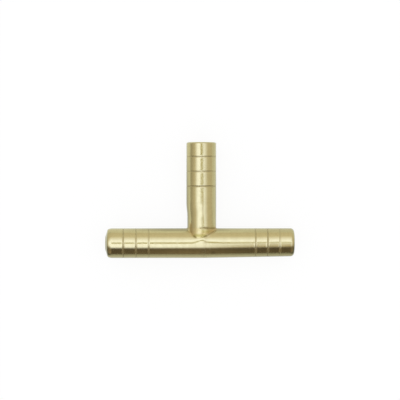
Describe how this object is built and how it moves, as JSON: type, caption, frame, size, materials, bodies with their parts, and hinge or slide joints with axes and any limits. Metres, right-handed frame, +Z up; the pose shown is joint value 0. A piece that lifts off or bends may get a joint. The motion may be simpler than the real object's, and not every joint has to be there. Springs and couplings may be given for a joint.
{
  "type": "hose barb tee",
  "caption": "Brass hose tee: a straight thick-walled tube with a side tube brazed on at a saddle joint, its ends domed or bevelled and grooved with rolled rings to grip push-on hoses.",
  "frame": {"origin": "crossing of the run's and the branch's centrelines", "axes": "+X along the run towards its slimmer, slightly shorter arm, +Y along the branch towards its tip, +Z up from the surface that the tee lies on"},
  "size_m": [0.0506, 0.0311, 0.008],
  "materials": {
    "polished_brass": "polished, with fine marks around the tube",
    "braze_filler": "dressed brazing filler, warmer and duller than the tubes"
  },
  "bodies": {
    "root": {"run_tube": "polished_brass", "branch_tube": "polished_brass", "braze_fillet": "braze_filler"}
  },
  "joints": []
}
